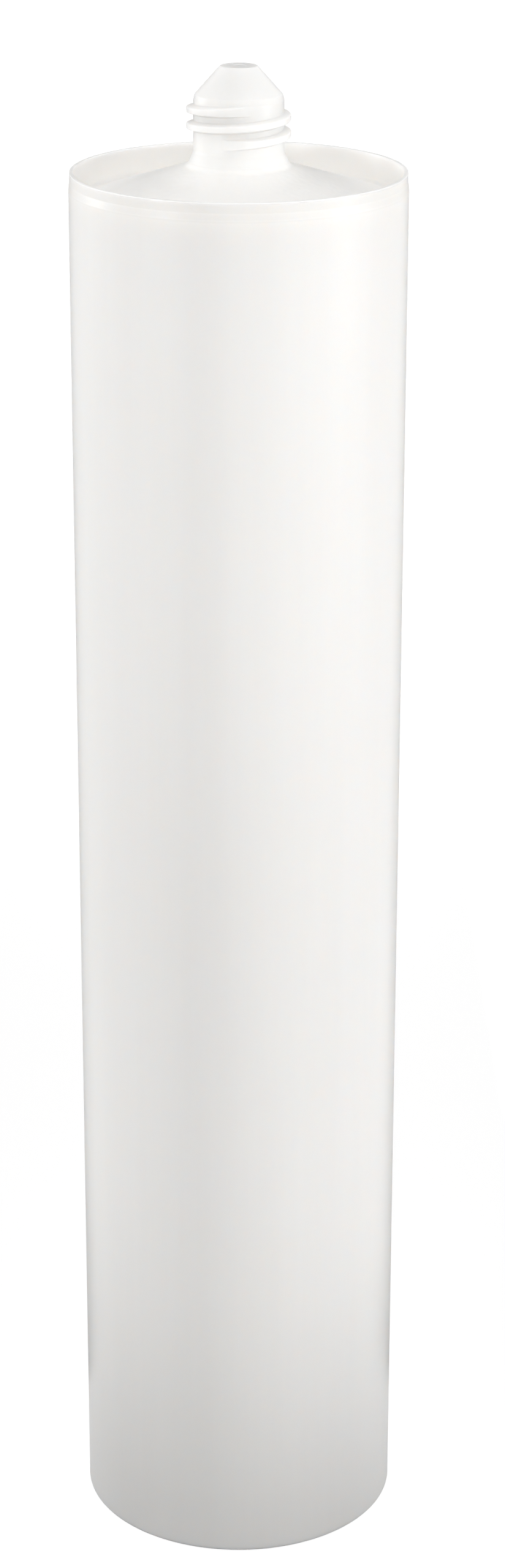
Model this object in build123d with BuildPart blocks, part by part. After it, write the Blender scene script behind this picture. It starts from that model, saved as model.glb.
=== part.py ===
# Empty adhesive cartridge: a one-piece moulded barrel with a conical head and a threaded neck,
# open at the rear, and the loose piston that closes it. The origin is the centre of the rear edge
# and +Z runs up the barrel to the neck.
import os
from math import cos, radians, sin, tan

from build123d import *

# Barrel
barrel_diameter = 49.5
barrel_wall = 1.3
barrel_length = 216.8  # rear edge to the lip
mouth_lead_width = 0.5  # lead-in for the piston
mouth_lead_height = 1.8
mouth_bevel = 0.3  # outside

# Rim that stands up round the head
rim_band = 2.6  # height above the witness step
rim_inset = 0.22  # set in from the barrel
rim_lip = 0.56  # width of the lip
rim_bevel = 0.14  # both edges of the lip
rim_foot = 1.45  # width at the foot of the inner wall

# Head
valley_depth = 4.2  # lip to the foot of the rim's inner wall
valley_fillet = 0.6
head_slope = 17.7  # degrees, rising to the neck
head_thickness = 1.5
ceiling_bevel = 0.4

# Neck
neck_diameter = 13.1
foot_diameter = 14.9
foot_fillet = 0.5
flare_height = 2.2  # foot ring up to the plain neck
flare_fillet = 1.2
neck_plain = 0.85  # below the thread
neck_top_plain = 0.6  # above the thread's centre line
shoulder_height = 0.85
shoulder_diameter = 12.7
tip_height = 4.05
tip_diameter = 5.4
tip_bevel = 0.25
neck_bore_diameter = 8.8
throat_bevel = 0.8
tip_wall = 1.3

# Thread on the neck, single start, right hand
thread_diameter = 15.1
thread_pitch = 2.35
thread_turns = 2.1
thread_crest = 0.75  # width of the flat crest
thread_root = 1.55  # width at the neck
thread_fade = 75  # degrees in which each end runs out
thread_bite = 0.3  # depth sunk in the neck
thread_start_angle = -110  # degrees

# Piston
piston_clearance = 0.05  # running fit of its lips
piston_setback = 5.0  # rear edge inside the mouth
piston_skirt = 19.0  # rear edge to the wiper's edge
lip_height = 2.2
lip_bevel = 0.4
waist_depth = 0.55
waist_ramp = 1.0
piston_wall = 2.0
piston_web = 1.6
web_bevel = 0.8
nose_diameter = 11.0
nose_bevel = 0.8
wiper_width = 0.8
wiper_groove = 1.4
wiper_depth = 1.4
rib_count = 8
rib_thickness = 1.2
rib_recess = 6.5  # rear edge to the ends of the ribs
hub_diameter = 15.0
hub_wall = 1.4

# Barrel, rim and head, as radii and heights
barrel_radius = barrel_diameter / 2
bore_radius = barrel_radius - barrel_wall
step_z = barrel_length - rim_band
rim_radius = barrel_radius - rim_inset
lip_radius = rim_radius - rim_lip
rise = tan(radians(head_slope))
valley_radius = barrel_radius - rim_foot
valley_z = barrel_length - valley_depth
ceiling_z = valley_z + (valley_radius - bore_radius) * rise - head_thickness / cos(radians(head_slope))

# Neck
neck_radius = neck_diameter / 2
foot_radius = foot_diameter / 2
foot_z = valley_z + (valley_radius - foot_radius) * rise
plain_z = foot_z + flare_height
thread_depth = thread_diameter / 2 - neck_radius
thread_sunk = thread_root + (thread_root - thread_crest) * thread_bite / thread_depth
thread_height = thread_pitch * thread_turns
run_out_height = thread_pitch * thread_fade / 360 + thread_root / 2
thread_z = plain_z + neck_plain + thread_root / 2
shank_z = thread_z + thread_height + neck_top_plain
shoulder_radius = shoulder_diameter / 2
shoulder_z = shank_z + shoulder_height
tip_radius = tip_diameter / 2
tip_z = shoulder_z + tip_height
neck_bore_radius = neck_bore_diameter / 2
throat_z = ceiling_z + (bore_radius - neck_bore_radius) * rise
tip_bore_radius = tip_radius / 2
tip_bore_z = tip_z - tip_wall
tip_taper = tip_height / (shoulder_radius - tip_radius)
neck_bore_z = tip_bore_z - (neck_bore_radius - tip_bore_radius) * tip_taper

# Piston
piston_radius = bore_radius - piston_clearance
waist_radius = piston_radius - waist_depth
cup_radius = waist_radius - piston_wall
front_z = piston_setback + piston_skirt
wiper_radius = piston_radius - wiper_width
groove_radius = wiper_radius - wiper_groove
groove_bottom_radius = wiper_radius - wiper_groove / 2
nose_radius = nose_diameter / 2
nose_z = front_z + (piston_radius - nose_radius) * rise
web_drop = piston_web / cos(radians(head_slope))
web_z = front_z + (piston_radius - cup_radius) * rise - web_drop
web_nose_z = web_z + (cup_radius - nose_radius) * rise
rib_z = piston_setback + rib_recess
hub_radius = hub_diameter / 2
hub_top_z = web_z + (cup_radius - hub_radius) * rise + web_drop / 2
rib_inner_radius = hub_radius - hub_wall / 2
rib_outer_radius = cup_radius + piston_wall / 2


# Point of a plan sketch at a radius and an angle
def polar(radius, angle):
    return (radius * cos(radians(angle)), radius * sin(radians(angle)))


# Corner of a profile that is drawn as radius and height
def corner(profile, radius, height):
    return profile.vertices().sort_by_distance((radius, height))[0]


# Thread: a trapezoid carried up a helix, sunk a little in the neck
with BuildPart() as neck_thread:
    with BuildLine() as thread_path:
        Helix(thread_pitch, thread_height, neck_radius, center=(0, 0, thread_z))
    helix = thread_path.line
    with BuildSketch(Plane(origin=helix @ 0, x_dir=(1, 0, 0), z_dir=helix % 0)):
        with BuildLine():
            Polyline(
                (-thread_bite, -thread_sunk / 2),
                (thread_depth, -thread_crest / 2),
                (thread_depth, thread_crest / 2),
                (-thread_bite, thread_sunk / 2),
                close=True,
            )
        make_face()
    sweep(path=helix, is_frenet=True)
    # Each end runs out on an arc that brings the crest down into the neck
    for end_z, end_angle, side in ((thread_z, 0, 1), (thread_z + thread_height, 360 * thread_turns, -1)):
        with BuildSketch(Plane.XY.offset(end_z - side * thread_root).rotated((0, 0, end_angle))):
            with BuildLine():
                arc = ThreePointArc(
                    polar(neck_radius - thread_bite / 2, 0),
                    polar(neck_radius + thread_depth * 0.6, side * thread_fade / 2),
                    polar(neck_radius + thread_depth, side * thread_fade),
                )
                Polyline(
                    arc @ 1,
                    polar(2 * neck_radius, side * thread_fade),
                    polar(2 * neck_radius, 0),
                    arc @ 0,
                )
            make_face()
        extrude(amount=side * (thread_root + run_out_height), mode=Mode.SUBTRACT)

# Cartridge body, one moulding
with BuildPart() as cartridge_body:
    # Barrel, rim, conical head, neck and closed tip
    with BuildSketch(Plane.XZ) as outside:
        with BuildLine():
            Polyline(
                (0, 0),
                (barrel_radius, 0),
                (barrel_radius, step_z),
                (rim_radius, step_z + rim_inset),
                (rim_radius, barrel_length),
                (lip_radius, barrel_length),
                (valley_radius, valley_z),
                (foot_radius, foot_z),
                (neck_radius, plain_z),
                (neck_radius, shank_z),
                (shoulder_radius, shoulder_z),
                (tip_radius, tip_z),
                (0, tip_z),
                close=True,
            )
        make_face()
        chamfer(corner(outside, barrel_radius, 0), mouth_bevel)
        chamfer(corner(outside, rim_radius, barrel_length), rim_bevel)
        chamfer(corner(outside, lip_radius, barrel_length), rim_bevel)
        fillet(corner(outside, valley_radius, valley_z), valley_fillet)
        fillet(corner(outside, foot_radius, foot_z), foot_fillet)
        fillet(corner(outside, neck_radius, plain_z), flare_fillet)
        chamfer(corner(outside, tip_radius, tip_z), tip_bevel)
    revolve(axis=Axis.Z)
    add(neck_thread.part, rotation=(0, 0, thread_start_angle))

    # Chamber, its lead-in, and the bore of the neck, blind under the tip
    with BuildSketch(Plane.XZ) as inside:
        with BuildLine():
            Polyline(
                (0, 0),
                (bore_radius + mouth_lead_width, 0),
                (bore_radius, mouth_lead_height),
                (bore_radius, ceiling_z),
                (neck_bore_radius, throat_z),
                (neck_bore_radius, neck_bore_z),
                (tip_bore_radius, tip_bore_z),
                (0, tip_bore_z),
                close=True,
            )
        make_face()
        chamfer(corner(inside, bore_radius, ceiling_z), ceiling_bevel)
        chamfer(corner(inside, neck_bore_radius, throat_z), throat_bevel)
    revolve(axis=Axis.Z, mode=Mode.SUBTRACT)

# One rib of the piston, from its hub to its skirt, up into the web
with BuildPart() as piston_rib:
    with BuildSketch(Plane.XZ):
        with BuildLine():
            Polyline(
                (rib_inner_radius, rib_z),
                (rib_outer_radius, rib_z),
                (rib_outer_radius, web_z),
                (rib_inner_radius, web_z + (rib_outer_radius - rib_inner_radius) * rise),
                close=True,
            )
        make_face()
    extrude(amount=rib_thickness / 2, both=True)

# Piston: a cup with a conical front, a wiper lip in front and a second lip at the rear
with BuildPart() as piston:
    with BuildSketch(Plane.XZ) as section:
        with BuildLine():
            Polyline(
                (0, nose_z),
                (nose_radius, nose_z),
                (groove_radius, front_z + (piston_radius - groove_radius) * rise),
                (groove_bottom_radius, front_z - wiper_depth),
                (wiper_radius, front_z + wiper_width * rise),
                (piston_radius, front_z),
                (piston_radius, front_z - lip_height),
                (waist_radius, front_z - lip_height - waist_ramp),
                (waist_radius, piston_setback + lip_height + waist_ramp),
                (piston_radius, piston_setback + lip_height),
                (piston_radius, piston_setback),
                (cup_radius, piston_setback),
                (cup_radius, web_z),
                (nose_radius, web_nose_z),
                (0, web_nose_z),
                close=True,
            )
        make_face()
        chamfer(corner(section, nose_radius, nose_z), nose_bevel)
        chamfer(corner(section, piston_radius, front_z), lip_bevel)
        chamfer(corner(section, piston_radius, piston_setback), lip_bevel)
        chamfer(corner(section, cup_radius, piston_setback), lip_bevel)
        chamfer(corner(section, cup_radius, web_z), web_bevel)
    revolve(axis=Axis.Z)
    # Hub and ribs that take the push plate
    with BuildSketch(Plane.XZ) as hub:
        with BuildLine():
            Polyline(
                (hub_radius - hub_wall, rib_z),
                (hub_radius, rib_z),
                (hub_radius, hub_top_z),
                (hub_radius - hub_wall, hub_top_z),
                close=True,
            )
        make_face()
    revolve(axis=Axis.Z)
    with PolarLocations(0, rib_count):
        add(piston_rib.part)

os.makedirs("parts", exist_ok=True)
cartridge_body.part.label = "cartridge_body"
export_step(cartridge_body.part, "parts/cartridge_body.step")
piston.part.label = "piston"
export_step(piston.part, "parts/piston.step")
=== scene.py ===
import math

import bpy
import numpy as np
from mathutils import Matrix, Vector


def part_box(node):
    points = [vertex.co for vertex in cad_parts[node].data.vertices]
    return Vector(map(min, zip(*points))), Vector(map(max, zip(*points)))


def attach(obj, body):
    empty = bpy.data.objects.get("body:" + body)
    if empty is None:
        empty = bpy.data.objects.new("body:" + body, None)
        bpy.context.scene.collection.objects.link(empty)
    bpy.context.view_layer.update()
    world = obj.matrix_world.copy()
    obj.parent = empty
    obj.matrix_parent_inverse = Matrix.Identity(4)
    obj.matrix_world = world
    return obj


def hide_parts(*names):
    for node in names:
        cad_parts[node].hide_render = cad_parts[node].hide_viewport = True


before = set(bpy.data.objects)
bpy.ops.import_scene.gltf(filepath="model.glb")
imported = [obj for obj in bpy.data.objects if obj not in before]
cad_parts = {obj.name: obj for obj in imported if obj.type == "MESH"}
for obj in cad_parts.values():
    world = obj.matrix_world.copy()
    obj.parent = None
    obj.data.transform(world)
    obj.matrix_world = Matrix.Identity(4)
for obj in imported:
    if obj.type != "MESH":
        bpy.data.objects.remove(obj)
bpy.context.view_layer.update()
print("frame loaded")

mm = 0.001
unitSpan = (0.0, 1.0)
bodyLow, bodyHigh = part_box("cartridge_body")
pistonLow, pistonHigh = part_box("piston")


# every corner (radius, height, round) of a profile becomes an arc tangent to its two sides: the tangent
# points lie round / tan(half angle) from the corner, the centre round / sin(half angle) along the bisector,
# and the arc swings evenly between them; each straight run keeps two rows near both of its ends, hold and
# twice hold from them, so that it shades flat
def roundedProfile(corners, steps=6, hold=0.12, holdMost=0.2, shortest=1e-9):
    table = np.asarray(corners, float)
    points = table[:, :2]
    radius = table[1:-1, 2]
    back = points[:-2] - points[1:-1]
    ahead = points[2:] - points[1:-1]
    back /= np.linalg.norm(back, axis=1, keepdims=True)
    ahead /= np.linalg.norm(ahead, axis=1, keepdims=True)
    half = np.arccos(np.clip((back * ahead).sum(axis=1), -1, 1)) / 2
    reach = (radius / np.tan(half))[:, None]
    bisector = back + ahead
    bisector /= np.linalg.norm(bisector, axis=1, keepdims=True)
    centre = points[1:-1] + bisector * (radius / np.sin(half))[:, None]
    start = points[1:-1] + back * reach
    end = points[1:-1] + ahead * reach
    turn = (np.pi - 2 * half)[:, None, None]
    share = np.linspace(0, 1, steps + 1)[None, :, None]
    fromStart = np.sin((1 - share) * turn) * (start - centre)[:, None]
    toEnd = np.sin(share * turn) * (end - centre)[:, None]
    arcs = centre[:, None] + (fromStart + toEnd) / np.sin(turn)
    # straight runs, from the end of one arc to the start of the next
    runStart = np.vstack([points[:1], end])
    run = np.vstack([start, points[-1:]]) - runStart
    length = np.linalg.norm(run, axis=1, keepdims=True)
    near = np.minimum(hold / np.maximum(length, shortest), holdMost)
    places = np.hstack([near, 2 * near, 1 - 2 * near, 1 - near])[:, :, None]
    rows = runStart[:, None] + places * run[:, None]
    rounds = np.concatenate([rows[:-1], arcs], axis=1).reshape(-1, 2)
    return np.vstack([points[:1], rounds, rows[-1], points[-1:]])


# quads of a grid of rows and columns whose columns close on themselves
def gridQuads(rows, columns):
    row, column = np.meshgrid(np.arange(rows - 1), np.arange(columns), indexing="ij")
    beside = (column + 1) % columns
    here = row * columns
    below = here + columns
    return np.stack([here + column, below + column, below + beside, here + beside], axis=-1).reshape(-1, 4)


# triangles that close the first and the last row of such a grid, each on a point that follows the grid's own
def endFans(rows, columns):
    column = np.arange(columns)
    beside = (column + 1) % columns
    lastRow = (rows - 1) * columns
    firstFan = np.stack([np.full(columns, rows * columns), column, beside], axis=-1)
    lastFan = np.stack([lastRow + column, np.full(columns, rows * columns + 1), lastRow + beside], axis=-1)
    return np.vstack([firstFan, lastFan])


# a section of radius and height turned about the axis: x = r cos a, y = r sin a, z = h; swell gives what
# is added to the radius at each angle and height
def turnedRings(section, columns, swell=None):
    angle = np.linspace(0, 2 * np.pi, columns, endpoint=False)[None, :]
    radius = section[:, :1] + 0 * angle
    height = section[:, 1:] + 0 * angle
    if swell is not None:
        radius = radius + swell(angle + 0 * radius, radius, height)
    return np.stack([radius * np.cos(angle), radius * np.sin(angle), height], axis=-1).reshape(-1, 3)


# a profile that starts and ends on the axis, turned and closed with a pole at each end; marks are values
# for its rows
def turnedShell(profile, columns, swell=None, marks=None):
    rings = turnedRings(profile[1:-1], columns, swell)
    poles = np.array([[0, 0, profile[0, 1]], [0, 0, profile[-1, 1]]])
    rows = len(profile) - 2
    pointMarks = {}
    for name, rowMarks in (marks or {}).items():
        pointMarks[name] = np.concatenate([np.repeat(rowMarks[1:-1], columns), rowMarks[:1], rowMarks[-1:]])
    return {
        "points": np.vstack([rings, poles]), "quads": gridQuads(rows, columns),
        "tris": endFans(rows, columns), "marks": pointMarks,
    }


# the shells' points, in millimetres, as one mesh in metres
def moulding(name, shells, material):
    offset = np.cumsum([0] + [len(shell["points"]) for shell in shells])
    points = np.vstack([shell["points"] for shell in shells]) * mm
    faces = []
    for shift, shell in zip(offset, shells):
        faces += (shell["quads"] + shift).tolist() + (shell["tris"] + shift).tolist()
    mesh = bpy.data.meshes.new(name)
    mesh.from_pydata(points.tolist(), [], faces)
    mesh.polygons.foreach_set("use_smooth", np.ones(len(mesh.polygons), bool))
    for markName in shells[0]["marks"]:
        layer = mesh.attributes.new(markName, "FLOAT", "POINT")
        layer.data.foreach_set("value", np.concatenate([shell["marks"][markName] for shell in shells]))
    mesh.materials.append(material)
    mesh.update()
    piece = bpy.data.objects.new(name, mesh)
    bpy.context.scene.collection.objects.link(piece)
    print(name, len(mesh.vertices), "points,", len(mesh.polygons), "faces")
    return piece


# one shader node, with its sockets set or linked
def wire(tree, kind, sockets=None, **settings):
    made = tree.nodes.new(kind)
    for key, value in settings.items():
        setattr(made, key, value)
    for key, value in (sockets or {}).items():
        if isinstance(value, bpy.types.NodeSocket):
            tree.links.new(value, made.inputs[key])
        else:
            made.inputs[key].default_value = value
    return made


# the value of a noise
def noise(tree, place, scale, detail, roughness):
    sockets = {"Vector": place, "Scale": scale, "Detail": detail, "Roughness": roughness}
    return wire(tree, "ShaderNodeTexNoise", sockets).outputs["Fac"]


# a share of the second colour in the first
def mixedColour(tree, share, first, second):
    return wire(tree, "ShaderNodeMix", {0: share, 6: first, 7: second}, data_type="RGBA").outputs[2]


# a value carried from one span to another
def spread(tree, value, fromSpan, toSpan):
    sockets = {
        "Value": value, "From Min": fromSpan[0], "From Max": fromSpan[1],
        "To Min": toSpan[0], "To Max": toSpan[1],
    }
    return wire(tree, "ShaderNodeMapRange", sockets).outputs["Result"]


# a bump, over another one where its normal is given
def relief(tree, height, strength, depth, normal=None):
    sockets = {"Height": height, "Strength": strength, "Distance": depth}
    if normal is not None:
        sockets["Normal"] = normal
    return wire(tree, "ShaderNodeBump", sockets).outputs["Normal"]


# what both mouldings share: index of refraction, detail and roughness of each noise, and the spans that are
# read from the noises and from the mark of painted shade and deeper subsurface
resin = {
    "ior": 1.52, "drift": (3.0, 0.5), "draw": (4.0, 0.6), "grain": (2.0, 0.6),
    "tintSpan": (0.7, 1.3), "polishSpan": (0.3, 0.7), "deepSpan": (0.63, 0.7),
}


# satin polyethylene: a milky white that drifts a little over the surface, with long faint draw lines up the
# barrel and a fine moulded grain; where the piece's attributes ask for them, a coarser spark-eroded grain,
# and on thin walls with nothing behind them a greyer tone that is painted shade, where the light goes deeper
def polyethylene(name, look, grainMark=None, shadeAndDepthMark=None):
    material = bpy.data.materials.new(name)
    material.use_nodes = True
    tree = material.node_tree
    shader = tree.nodes["Principled BSDF"]
    place = wire(tree, "ShaderNodeTexCoord").outputs["Object"]
    drawSockets = {"Vector": place, "Scale": look["drawScale"]}
    stretched = wire(tree, "ShaderNodeMapping", drawSockets).outputs["Vector"]
    drift = noise(tree, place, look["driftScale"], *resin["drift"])
    draw = noise(tree, stretched, 1.0, *resin["draw"])
    grain = noise(tree, place, look["grainScale"], *resin["grain"])
    blend = wire(tree, "ShaderNodeMath", {0: drift, 1: draw}, operation="ADD").outputs["Value"]
    tint = spread(tree, blend, resin["tintSpan"], unitSpan)
    tone = mixedColour(tree, tint, look["shade"], look["white"])
    shader.inputs["Subsurface Weight"].default_value = look["subsurface"]
    shader.inputs["Subsurface Radius"].default_value = look["subsurfaceRadius"]
    shader.inputs["Subsurface Scale"].default_value = look["subsurfaceScale"]
    shader.inputs["IOR"].default_value = resin["ior"]
    # painted shade: the thin-wall mark greys the tone, and it also sets a deeper subsurface scale
    if shadeAndDepthMark:
        thinPaintedShade = wire(tree, "ShaderNodeAttribute", attribute_name=shadeAndDepthMark).outputs["Fac"]
        tone = mixedColour(tree, thinPaintedShade, tone, look["thinPaintedShade"])
        deep = spread(tree, thinPaintedShade, resin["deepSpan"], (look["subsurfaceScale"], look["thinScale"]))
        tree.links.new(deep, shader.inputs["Subsurface Scale"])
    tree.links.new(tone, shader.inputs["Base Color"])
    polish = spread(tree, draw, resin["polishSpan"], look["roughness"])
    tree.links.new(polish, shader.inputs["Roughness"])
    normal = relief(tree, drift, look["waveStrength"], look["waveDepth"])
    normal = relief(tree, grain, look["grainStrength"], look["grainDepth"], normal)
    if grainMark:
        zone = wire(tree, "ShaderNodeAttribute", attribute_name=grainMark).outputs["Fac"]
        sparkSockets = {"Vector": place, "Scale": look["sparkScale"]}
        spark = wire(tree, "ShaderNodeTexVoronoi", sparkSockets, feature="SMOOTH_F1").outputs["Distance"]
        pits = wire(tree, "ShaderNodeMath", {0: spark, 1: zone}, operation="MULTIPLY").outputs["Value"]
        normal = relief(tree, pits, look["sparkStrength"], look["sparkDepth"], normal)
    tree.links.new(normal, shader.inputs["Normal"])
    return material


# cartridge body, in millimetres
barrel = {
    "radius": (bodyHigh.x - bodyLow.x) / 2 / mm, "tipHeight": bodyHigh.z / mm,
    "lipHeight": 216.8, "wall": 1.3, "leadWidth": 0.5, "leadHeight": 1.8,
    "rimBand": 2.6, "rimInset": 0.14, "lipWidth": 0.56, "rimFoot": 1.45, "stepRise": 1.1,
    "valleyDepth": 4.2, "headSlope": 17.7, "headThickness": 1.5, "columns": 288,
    "lipRound": 0.1, "stepRound": 0.5, "valleyRound": 0.6, "mouthRound": 0.3, "leadRound": 0.15,
    "leadEase": 0.5, "ceilingRound": 0.4,
}
neck = {
    "radius": 6.55, "footRadius": 7.45, "flareHeight": 2.2, "shoulderHeight": 0.85, "shoulderRadius": 6.35,
    "coneHeight": 4.05, "tipRadius": 2.7, "gateRadius": 0.9, "gateDepth": 0.08, "gateSlope": 0.25,
    "boreRadius": 4.4, "tipWall": 1.3, "threadRows": 120, "rowsFromTop": 0.4, "rowsFromFoot": 0.5,
    "splitHeight": 0.035, "splitWidth": 0.14, "swellClear": 0.5,
    "gateRound": 0.08, "tipRound": 0.28, "shoulderRound": 0.35, "flareRound": 1.2, "footRound": 1.5,
    "throatRound": 0.8, "boreTopRound": 0.4, "boreEndRound": 0.3,
}
thread = {
    "pitch": 2.35, "turns": 2.1, "crest": 0.75, "root": 1.55, "depth": 1.0, "plain": 0.85,
    "startAngle": -110.0, "runOut": 75.0, "laps": 3, "straightShare": 0.45,
}
# the greyer colour for the thin walls is painted shade
bodyLook = {
    "white": (0.903, 0.895, 0.880, 1), "shade": (0.884, 0.875, 0.858, 1), "thinPaintedShade": (0.748, 0.743, 0.734, 1),
    "roughness": (0.38, 0.47),
    "driftScale": 24.0, "drawScale": (260.0, 260.0, 9.0), "grainScale": 1900.0,
    "waveStrength": 0.2, "waveDepth": 0.0004, "grainStrength": 0.25, "grainDepth": 0.00003,
    "sparkScale": 1100.0, "sparkStrength": 0.5, "sparkDepth": 0.00012,
    "subsurface": 1.0, "subsurfaceRadius": (1.0, 0.93, 0.86), "subsurfaceScale": 0.0009, "thinScale": 0.0028,
}
# painted shade on thin walls: how grey each is, where its tone starts above its own foot, and over what
# height it comes in
shadeAndDepthZones = {
    "neckShare": 0.72, "neckStart": -0.5, "neckRamp": 1.2, "neckReach": 2.0,
    "lipStart": -0.44, "lipRamp": 0.24, "lipReach": 0.3,
    "rimInside": 0.62, "rimOutside": 0.36, "rimStart": -0.3, "rimRamp": 0.6, "rimReach": 0.3,
    "stepShare": 0.5, "stepBlur": 1.6, "stepReach": 0.05,
}
headGrain = {"inside": 0.2, "below": 0.2, "above": 0.6}  # how far the head's grain goes past its edges

rise = math.tan(math.radians(barrel["headSlope"]))
boreRadius = barrel["radius"] - barrel["wall"]
rimRadius = barrel["radius"] - barrel["rimInset"]
lipRadius = rimRadius - barrel["lipWidth"]
stepHeight = barrel["lipHeight"] - barrel["rimBand"]
valleyRadius = barrel["radius"] - barrel["rimFoot"]
valleyHeight = barrel["lipHeight"] - barrel["valleyDepth"]
footHeight = valleyHeight + (valleyRadius - neck["footRadius"]) * rise
plainHeight = footHeight + neck["flareHeight"]
shoulderHeight = barrel["tipHeight"] - neck["coneHeight"]
shankHeight = shoulderHeight - neck["shoulderHeight"]
headDrop = barrel["headThickness"] * math.hypot(1, rise)
ceilingHeight = valleyHeight + (valleyRadius - boreRadius) * rise - headDrop
throatHeight = ceilingHeight + (boreRadius - neck["boreRadius"]) * rise
tipBoreRadius = neck["tipRadius"] / 2
tipBoreHeight = barrel["tipHeight"] - neck["tipWall"]
tipTaper = neck["coneHeight"] / (neck["shoulderRadius"] - neck["tipRadius"])
boreTopHeight = tipBoreHeight - (neck["boreRadius"] - tipBoreRadius) * tipTaper
threadHeight = plainHeight + thread["plain"] + thread["root"] / 2


# height of the thread over the neck: a trapezoid of the distance from the helix z = start + pitch * turn /
# 2 pi, its flanks eased, cut down at both ends by a ramp that grows over the run-out; the mould's split adds
# two thin ridges
def neckSwell(angle, radius, height):
    turn = (angle - math.radians(thread["startAngle"])) % (2 * np.pi)
    lap = np.arange(thread["laps"])[:, None, None] * 2 * np.pi + turn[None]
    offset = np.abs(height[None] - threadHeight - thread["pitch"] * lap / (2 * np.pi))
    flank = np.clip((thread["root"] / 2 - offset) / ((thread["root"] - thread["crest"]) / 2), 0, 1)
    straight = thread["straightShare"]
    eased = straight * flank + (1 - straight) * flank ** 2 * (3 - 2 * flank)
    last = 2 * np.pi * thread["turns"]
    ramp = np.clip(np.minimum(lap, last - lap) / math.radians(thread["runOut"]), 0, 1)
    crest = thread["depth"] * np.minimum(eased, np.sin(ramp * np.pi / 2)).max(axis=0)
    side = np.abs(np.sin(angle)) * radius
    ridge = neck["splitHeight"] * np.exp(-(side / neck["splitWidth"]) ** 2)
    outside = radius > neck["boreRadius"] + neck["swellClear"]
    onShank = (height > plainHeight) & (height < shankHeight + neck["shoulderHeight"]) & outside
    return np.where(onShank, crest + ridge, 0)


# the plain neck, the first run down between two heights, with rows close enough for the thread
def withThreadRows(profile, top, foot):
    cut = np.argmax(profile[:, 1] < top)
    resume = np.argmax(profile[:, 1] < foot)
    heights = np.linspace(top, foot, neck["threadRows"])
    rows = np.stack([np.full(len(heights), neck["radius"]), heights], axis=-1)
    return np.vstack([profile[:cut], rows, profile[resume:]])


# 0 below the start, 1 above the ramp's end, straight between
def fadeIn(value, start, ramp):
    return np.clip((value - start) / ramp, 0, 1)


# radius, height and round of each corner, from the tip down the outside and up the inside
bodyCorners = [
    (0, barrel["tipHeight"] - neck["gateDepth"], 0),
    (neck["gateRadius"], barrel["tipHeight"] - neck["gateDepth"], neck["gateRound"]),
    (neck["gateRadius"] + neck["gateSlope"], barrel["tipHeight"], neck["gateRound"]),
    (neck["tipRadius"], barrel["tipHeight"], neck["tipRound"]),
    (neck["shoulderRadius"], shoulderHeight, neck["shoulderRound"]),
    (neck["radius"], shankHeight, neck["shoulderRound"]),
    (neck["radius"], plainHeight, neck["flareRound"]),
    (neck["footRadius"], footHeight, neck["footRound"]),
    (valleyRadius, valleyHeight, barrel["valleyRound"]),
    (lipRadius, barrel["lipHeight"], barrel["lipRound"]),
    (rimRadius, barrel["lipHeight"], barrel["lipRound"]),
    (rimRadius, stepHeight + barrel["stepRise"], barrel["stepRound"]),
    (barrel["radius"], stepHeight, barrel["stepRound"]),
    (barrel["radius"], 0, barrel["mouthRound"]),
    (boreRadius + barrel["leadWidth"], 0, barrel["leadRound"]),
    (boreRadius, barrel["leadHeight"], barrel["leadEase"]),
    (boreRadius, ceilingHeight, barrel["ceilingRound"]),
    (neck["boreRadius"], throatHeight, neck["throatRound"]),
    (neck["boreRadius"], boreTopHeight, neck["boreTopRound"]),
    (tipBoreRadius, tipBoreHeight, neck["boreEndRound"]),
    (0, tipBoreHeight, 0),
]
threadTop = shankHeight - neck["rowsFromTop"]
threadFoot = plainHeight + neck["rowsFromFoot"]
bodyProfile = withThreadRows(roundedProfile(bodyCorners), threadTop, threadFoot)
radial, upward = bodyProfile[:, 0], bodyProfile[:, 1]

# the head's spark-eroded grain lies between the foot of the neck and the rim
acrossHead = (radial > neck["footRadius"] - headGrain["inside"]) & (radial < valleyRadius)
upHead = (upward > valleyHeight - headGrain["below"]) & (upward < footHeight + headGrain["above"])

# painted shade: these thin-wall marks grey the tone, and they also deepen the subsurface
# thin walls: the hollow neck from its flare up, the edge of the lip, both sides of the rim, and its step
neckWall = shadeAndDepthZones["neckShare"] * fadeIn(upward, footHeight + shadeAndDepthZones["neckStart"], shadeAndDepthZones["neckRamp"])
neckWall *= radial < neck["footRadius"] + shadeAndDepthZones["neckReach"]
lipEdge = fadeIn(upward, barrel["lipHeight"] + shadeAndDepthZones["lipStart"], shadeAndDepthZones["lipRamp"])
lipEdge *= radial > lipRadius - shadeAndDepthZones["lipReach"]
rimWall = np.where(radial < lipRadius, shadeAndDepthZones["rimInside"], shadeAndDepthZones["rimOutside"])
rimWall *= fadeIn(upward, stepHeight + shadeAndDepthZones["rimStart"], shadeAndDepthZones["rimRamp"])
rimWall *= radial > valleyRadius - shadeAndDepthZones["rimReach"]
fromStep = 2 * np.abs(upward - stepHeight - barrel["stepRise"] / 2) / barrel["stepRise"]
stepEdge = shadeAndDepthZones["stepShare"] * np.clip(shadeAndDepthZones["stepBlur"] - fromStep, 0, 1)
stepEdge *= radial > rimRadius - shadeAndDepthZones["stepReach"]
bodyMarks = {
    "headGrain": (acrossHead & upHead).astype(float),
    "paintedShadeAndDepth": np.max([neckWall, lipEdge, rimWall, stepEdge], axis=0),
}

bodyMaterial = polyethylene("barrelPolyethylene", bodyLook, "headGrain", "paintedShadeAndDepth")
bodyShell = turnedShell(bodyProfile, barrel["columns"], neckSwell, bodyMarks)
bodyPiece = moulding("barrelMoulding", [bodyShell], bodyMaterial)
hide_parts("cartridge_body")
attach(bodyPiece, "barrel")
print("barrel moulded")

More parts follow.
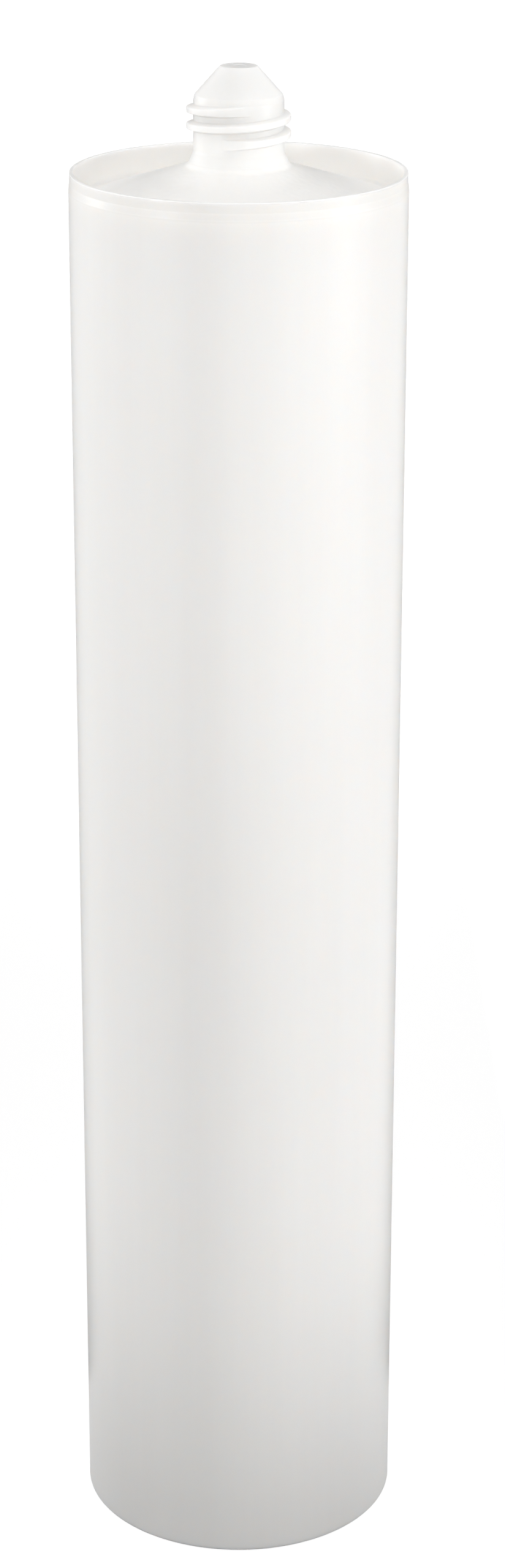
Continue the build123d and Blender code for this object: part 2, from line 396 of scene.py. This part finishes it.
# piston, in millimetres
follower = {
    "radius": (pistonHigh.x - pistonLow.x) / 2 / mm, "rear": pistonLow.z / mm, "nose": pistonHigh.z / mm,
    "skirt": 19.0, "lipHeight": 2.2, "waistDepth": 0.55, "waistRamp": 1.0, "wall": 2.0, "web": 1.6,
    "noseRadius": 5.5, "wiperWidth": 0.8, "wiperGroove": 1.4, "wiperDepth": 1.4, "columns": 240,
    "noseRound": 1.2, "grooveEdge": 0.2, "grooveRound": 0.3, "wiperRound": 0.15, "lipRound": 0.3,
    "waistRound": 0.4, "rearRound": 0.35, "cupRound": 0.9, "webRound": 0.6,
}
hub = {"radius": 7.5, "wall": 1.4, "recess": 6.5, "round": 0.25, "sunk": 0.5, "columns": 160}
rib = {
    "count": 8, "thickness": 1.2, "round": 0.25, "bends": 6, "rows": 48, "step": 0.12, "draft": 0.12,
    "flare": 0.5, "flareReach": 0.35, "sunk": 0.4,
}
followerLook = {
    "white": (0.875, 0.880, 0.870, 1), "shade": (0.845, 0.850, 0.838, 1), "roughness": (0.30, 0.40),
    "driftScale": 60.0, "drawScale": (300.0, 300.0, 30.0), "grainScale": 2200.0,
    "waveStrength": 0.2, "waveDepth": 0.0003, "grainStrength": 0.2, "grainDepth": 0.00003,
    "subsurface": 0.4, "subsurfaceRadius": (1.0, 0.98, 0.92), "subsurfaceScale": 0.002,
}
frontHeight = follower["rear"] + follower["skirt"]
waistRadius = follower["radius"] - follower["waistDepth"]
waistTop = frontHeight - follower["lipHeight"] - follower["waistRamp"]
waistFoot = follower["rear"] + follower["lipHeight"] + follower["waistRamp"]
cupRadius = waistRadius - follower["wall"]
wiperRadius = follower["radius"] - follower["wiperWidth"]
grooveRadius = wiperRadius - follower["wiperGroove"]
grooveMiddle = wiperRadius - follower["wiperGroove"] / 2
webDrop = follower["web"] * math.hypot(1, rise)
webHeight = frontHeight + (follower["radius"] - cupRadius) * rise - webDrop
webNoseHeight = webHeight + (cupRadius - follower["noseRadius"]) * rise
hubFoot = follower["rear"] + hub["recess"]
# radius, height and round of each corner, from the nose down the outside and up the cup
followerCorners = [
    (0, follower["nose"], 0),
    (follower["noseRadius"], follower["nose"], follower["noseRound"]),
    (grooveRadius, frontHeight + (follower["radius"] - grooveRadius) * rise, follower["grooveEdge"]),
    (grooveMiddle, frontHeight - follower["wiperDepth"], follower["grooveRound"]),
    (wiperRadius, frontHeight + follower["wiperWidth"] * rise, follower["wiperRound"]),
    (follower["radius"], frontHeight, follower["lipRound"]),
    (follower["radius"], frontHeight - follower["lipHeight"], follower["lipRound"]),
    (waistRadius, waistTop, follower["waistRound"]),
    (waistRadius, waistFoot, follower["waistRound"]),
    (follower["radius"], follower["rear"] + follower["lipHeight"], follower["lipRound"]),
    (follower["radius"], follower["rear"], follower["rearRound"]),
    (cupRadius, follower["rear"], follower["rearRound"]),
    (cupRadius, webHeight, follower["cupRound"]),
    (follower["noseRadius"], webNoseHeight, follower["webRound"]),
    (0, webNoseHeight, 0),
]
followerShell = turnedShell(roundedProfile(followerCorners), follower["columns"])


# hub: a tube with a rounded foot, its section a closed loop of radius and height turned about the axis; its
# top is buried in the web
def hubShell():
    top = webHeight + (cupRadius - hub["radius"]) * rise + webDrop * hub["sunk"]
    inner = hub["radius"] - hub["wall"]
    corners = [
        (hub["radius"], top, 0), (hub["radius"], hubFoot, hub["round"]),
        (inner, hubFoot, hub["round"]), (inner, top, 0),
    ]
    section = roundedProfile(corners)
    columns = hub["columns"]
    column = np.arange(columns)
    beside = (column + 1) % columns
    lastRow = (len(section) - 1) * columns
    lid = np.stack([lastRow + column, column, beside, lastRow + beside], axis=-1)
    return {
        "points": turnedRings(section, columns), "quads": np.vstack([gridQuads(len(section), columns), lid]),
        "tris": np.zeros((0, 3), int), "marks": {},
    }


# ribs: a bar with a rounded lower edge carried out from the hub to the skirt, x = reach, y = share of the
# half width, z = height; the sides lean with the mould's draft and flare where they meet the hub and the
# skirt, the ends and the top are buried in their walls, and the array repeats round the axis
def ribShells():
    inward = hub["radius"] - hub["wall"] / 2
    outward = cupRadius + follower["wall"] / 2
    along = (1 - np.cos(np.linspace(0, np.pi, rib["rows"])))[:, None] / 2
    reach = inward + (outward - inward) * along
    # the section, from the top of one side round the lower edge to the top of the other
    bend = np.linspace(0, np.pi / 2, rib["bends"])
    corner = rib["round"] / (rib["thickness"] / 2) * (1 - np.cos(bend))
    curl = rib["round"] * (1 - np.sin(bend))
    across = np.concatenate([[1, 1], 1 - corner, corner[::-1] - 1, [-1, -1]])[None]
    drop = np.concatenate([[0, 0], curl, curl[::-1], [0, 0]])[None]
    lift = np.concatenate([[1, 0.5], 0 * bend, 0 * bend, [0.5, 1]])[None]
    top = webHeight + (cupRadius - reach) * rise + webDrop * rib["sunk"]
    toWall = np.clip(np.minimum(reach - hub["radius"], cupRadius - reach), 0, None)
    flare = rib["flare"] * np.exp(-toWall / rib["flareReach"])
    half = rib["thickness"] / 2 + flare + rib["draft"] * lift
    foot = hubFoot + rib["step"]
    x = reach + 0 * across
    y = across * half
    z = foot + drop + lift * (top - foot)
    ends = np.stack([reach[[0, -1], 0], np.zeros(2), (hubFoot + top[[0, -1], 0]) / 2], axis=-1)
    bar = np.vstack([np.stack([x, y, z], axis=-1).reshape(-1, 3), ends])
    turn = (np.arange(rib["count"]) * 2 * np.pi / rib["count"])[:, None]
    turnedX = bar[:, 0] * np.cos(turn) - bar[:, 1] * np.sin(turn)
    turnedY = bar[:, 0] * np.sin(turn) + bar[:, 1] * np.cos(turn)
    turned = np.stack([turnedX, turnedY, bar[:, 2] + 0 * turn], axis=-1)
    shift = (np.arange(rib["count"]) * len(bar))[:, None, None]
    return {
        "points": turned.reshape(-1, 3), "quads": (gridQuads(*x.shape)[None] + shift).reshape(-1, 4),
        "tris": (endFans(*x.shape)[None] + shift).reshape(-1, 3), "marks": {},
    }


followerMaterial = polyethylene("followerPolyethylene", followerLook)
followerPiece = moulding("followerMoulding", [followerShell, hubShell(), ribShells()], followerMaterial)
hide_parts("piston")
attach(followerPiece, "follower")
print("follower moulded")


# 1 for what the camera sees, directly, in a reflection or through a clear piece
def seenRay(tree):
    path = wire(tree, "ShaderNodeLightPath").outputs
    shown = {0: path["Is Camera Ray"], 1: path["Is Glossy Ray"]}
    direct = wire(tree, "ShaderNodeMath", shown, operation="MAXIMUM").outputs["Value"]
    through = {0: direct, 1: path["Is Transmission Ray"]}
    return wire(tree, "ShaderNodeMath", through, operation="MAXIMUM").outputs["Value"]


# a flat sheet of the set round the cartridge
def flatSheet(name, points, faces, material):
    mesh = bpy.data.meshes.new(name)
    mesh.from_pydata(points, [], faces)
    mesh.materials.append(material)
    sheet = bpy.data.objects.new(name, mesh)
    bpy.context.scene.collection.objects.link(sheet)
    return sheet


# floor: a plain pale sheet, white where it is seen and lit, greyer in shadow, that throws little light back
floorLook = {
    "side": 12.0, "drop": 0.0003, "lift": 0.93, "seen": (0.2, 0.2, 0.2, 1), "bounce": (0.06, 0.06, 0.06, 1),
}
floorMaterial = bpy.data.materials.new("floorSheet")
floorMaterial.use_nodes = True
floorTree = floorMaterial.node_tree
floorTree.nodes.clear()
floorSeen = seenRay(floorTree)
floorTone = mixedColour(floorTree, floorSeen, floorLook["bounce"], floorLook["seen"])
floorLift = wire(floorTree, "ShaderNodeMath", {0: floorSeen, 1: floorLook["lift"]}, operation="MULTIPLY")
matt = wire(floorTree, "ShaderNodeBsdfDiffuse", {"Color": floorTone})
glow = wire(floorTree, "ShaderNodeEmission", {"Strength": floorLift.outputs["Value"]})
both = wire(floorTree, "ShaderNodeAddShader", {0: matt.outputs["BSDF"], 1: glow.outputs["Emission"]})
wire(floorTree, "ShaderNodeOutputMaterial", {"Surface": both.outputs["Shader"]})
edge = floorLook["side"] / 2
floorCorners = [(x * edge, y * edge, -floorLook["drop"]) for x, y in ((-1, -1), (1, -1), (1, 1), (-1, 1))]
floor = flatSheet("floor", floorCorners, [(0, 1, 2, 3)], floorMaterial)

# card: a dark sheet that lies behind the barrel, and another that stands up at its far end; only reflections
# show them, and they draw the outline against the white
card = {
    "near": 0.026, "far": 0.26, "nearWidth": 0.055, "farWidth": 0.165, "topWidth": 0.118, "top": 0.42,
    "clear": 0.001, "colour": (0.02, 0.02, 0.02, 1), "roughness": 0.95,
}
cardMaterial = bpy.data.materials.new("cardFelt")
cardMaterial.use_nodes = True
cardShader = cardMaterial.node_tree.nodes["Principled BSDF"]
cardShader.inputs["Base Color"].default_value = card["colour"]
cardShader.inputs["Roughness"].default_value = card["roughness"]
# half width, distance behind the axis and height of each cross line
cardLines = [
    (card["nearWidth"], card["near"], card["clear"]), (card["farWidth"], card["far"], card["clear"]),
    (card["topWidth"], card["far"], card["clear"]), (card["topWidth"], card["far"], card["top"]),
]
cardPoints = [(side * width, behind, up) for width, behind, up in cardLines for side in (-1, 1)]
cardPiece = flatSheet("card", cardPoints, [(0, 1, 3, 2), (4, 5, 7, 6)], cardMaterial)
cardPiece.visible_camera = False
cardPiece.visible_diffuse = False
cardPiece.visible_shadow = False
cardPiece.visible_transmission = False

# flags: two dark cards edge-on to the camera, beside and behind the barrel, nearer at the foot, that darken
# its sides
flags = {
    "flagLeft": {"aside": -0.056, "foot": 0.027, "top": 0.062},
    "flagRight": {"aside": 0.054, "foot": 0.012, "top": 0.050},
}
flagSize = {"back": 0.30, "height": 0.24}
for flagName, spot in flags.items():
    flagOutline = [
        (spot["foot"], 0), (flagSize["back"], 0),
        (flagSize["back"], flagSize["height"]), (spot["top"], flagSize["height"]),
    ]
    flagPoints = [(spot["aside"], behind, up) for behind, up in flagOutline]
    flag = flatSheet(flagName, flagPoints, [(0, 1, 2, 3)], cardMaterial)
    flag.visible_camera = False
print("floor laid, card and flags up")

# world: soft light, stronger from above than from the sides, and white where it is seen
worldLook = {"low": 0.66, "high": 1.15, "colour": (1.0, 0.996, 0.99, 1), "white": (1, 1, 1, 1), "seen": 1.0}
world = bpy.data.worlds.new("studio")
bpy.context.scene.world = world
world.use_nodes = True
worldTree = world.node_tree
worldTree.nodes.clear()
skyPlace = wire(worldTree, "ShaderNodeTexCoord").outputs["Generated"]
skyward = wire(worldTree, "ShaderNodeSeparateXYZ", {0: skyPlace}).outputs["Z"]
skyLight = spread(worldTree, skyward, unitSpan, (worldLook["low"], worldLook["high"]))
dim = wire(worldTree, "ShaderNodeBackground", {"Color": worldLook["colour"], "Strength": skyLight})
bright = wire(worldTree, "ShaderNodeBackground", {"Color": worldLook["white"], "Strength": worldLook["seen"]})
skySockets = {0: seenRay(worldTree), 1: dim.outputs["Background"], 2: bright.outputs["Background"]}
sky = wire(worldTree, "ShaderNodeMixShader", skySockets)
wire(worldTree, "ShaderNodeOutputWorld", {"Surface": sky.outputs["Shader"]})

# lamps: soft boxes round the barrel whose beams stay narrow, so that the foot of the barrel falls off; turn
# is degrees from the front towards the right, rise degrees above the point aimed at, a height on the axis
lamps = {
    "sideLeft": {"turn": -110, "rise": 1.0, "aim": 0.146, "height": 0.25, "spread": 10, "power": 0.0397},
    "frontLeft": {"turn": -50, "rise": 1.0, "aim": 0.140, "height": 0.25, "spread": 10, "power": 0.0478},
    "frontRight": {"turn": 40, "rise": 1.0, "aim": 0.131, "height": 0.25, "spread": 10, "power": 0.0270},
    "sideRight": {"turn": 76, "rise": -1.5, "aim": 0.133, "height": 0.25, "spread": 10, "power": 0.0715},
    "headLight": {"turn": 0, "rise": 14.0, "aim": 0.186, "height": 0.11, "spread": 20, "power": 0.0130},
    "backFill": {"turn": 180, "rise": 1.0, "aim": 0.098, "height": 0.24, "spread": 12, "power": 0.1050},
}
lampBox = {"distance": 0.7, "width": 0.22, "noShine": "backFill"}  # its shine would streak the head
for lampName, lamp in lamps.items():
    light = bpy.data.lights.new(lampName, "AREA")
    light.shape = "RECTANGLE"
    light.size = lampBox["width"]
    light.size_y = lamp["height"]
    light.energy = lamp["power"]
    light.spread = math.radians(lamp["spread"])
    lampTurn = math.radians(lamp["turn"])
    lean = math.radians(lamp["rise"])
    away = lampBox["distance"] * math.cos(lean)
    above = lampBox["distance"] * math.sin(lean)
    holder = bpy.data.objects.new(lampName, light)
    holder.location = (away * math.sin(lampTurn), -away * math.cos(lampTurn), lamp["aim"] + above)
    holder.rotation_euler = (math.pi / 2 - lean, 0, lampTurn)
    holder.visible_glossy = lampName != lampBox["noShine"]
    bpy.context.scene.collection.objects.link(holder)
print("lamps set")

# camera: in front of the barrel's axis, tilted down, with the frame moved a little to the right
shot = {
    "distance": 0.50678, "height": 0.31106, "tilt": 20.48, "sensor": 36.0,
    "focalPixels": 5714.0, "width": 824, "length": 2560, "axisPixel": 389.5,
}
cameraData = bpy.data.cameras.new("camera")
cameraData.sensor_width = shot["sensor"]
cameraData.lens = shot["focalPixels"] / shot["length"] * shot["sensor"]
cameraData.shift_x = (shot["width"] / 2 - shot["axisPixel"]) / shot["length"]
camera = bpy.data.objects.new("camera", cameraData)
camera.location = (0, -shot["distance"], shot["height"])
camera.rotation_euler = (math.radians(90 - shot["tilt"]), 0, 0)
bpy.context.scene.collection.objects.link(camera)
bpy.context.scene.camera = camera
bpy.context.scene.view_settings.view_transform = "Standard"
print("camera set")
